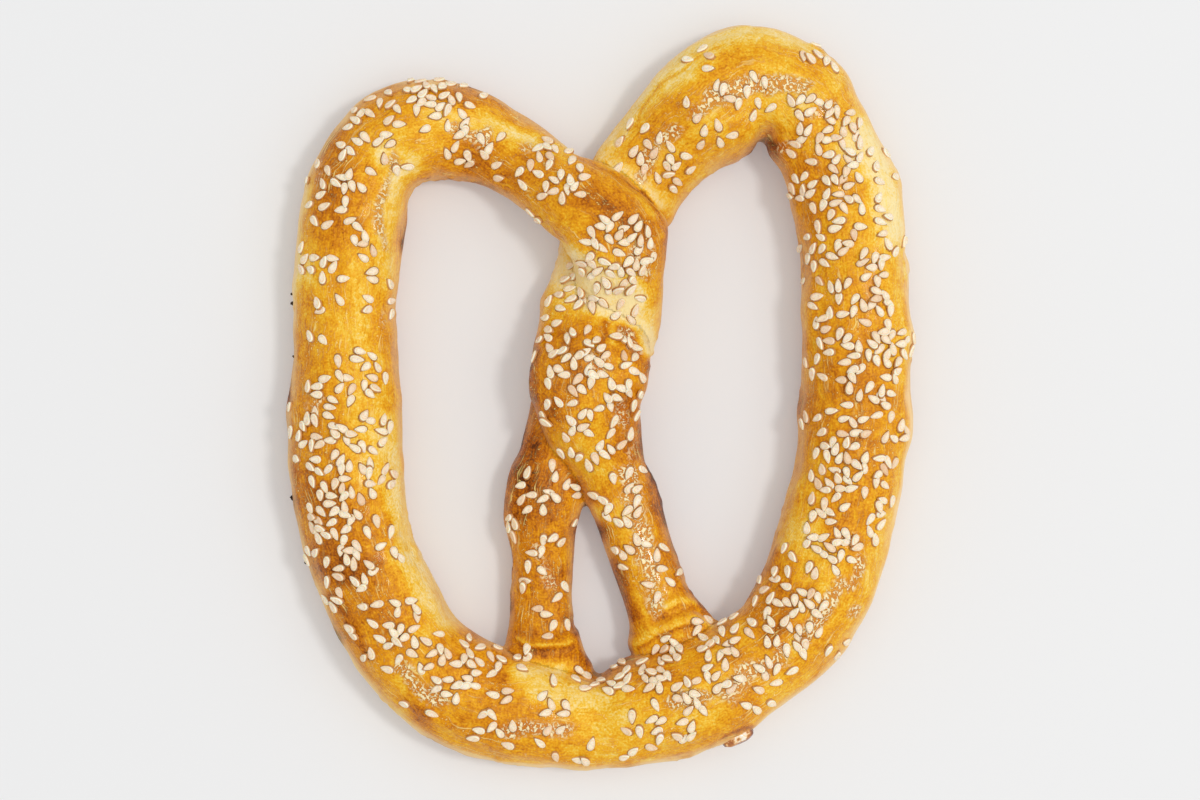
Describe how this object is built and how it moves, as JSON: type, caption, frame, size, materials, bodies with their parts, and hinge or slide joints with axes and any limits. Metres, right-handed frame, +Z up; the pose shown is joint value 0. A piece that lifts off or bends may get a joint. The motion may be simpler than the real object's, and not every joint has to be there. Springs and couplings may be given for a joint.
{
  "type": "sesame pretzel",
  "caption": "Soft pretzel: a baked rope of dough laid in a large bow, its ends twisted together and pressed onto the bow, with sesame seeds baked on top.",
  "frame": {"origin": "on the flat underside, below the middle of the pretzel's outline", "axes": "+Z up out of the top of the pretzel as it lies; +Y from the bow, past the crossing, towards the tops of the loops; +X to the right, seen from above with the bow nearest"},
  "size_m": [0.1407, 0.1686, 0.0253],
  "materials": {
    "crust": "egg-washed golden crust",
    "sesame_seeds": "pale hulled sesame seeds, baked on",
    "glaze": "drop of set, browned glaze"
  },
  "bodies": {
    "root": {"pretzel": "crust"}
  },
  "joints": []
}
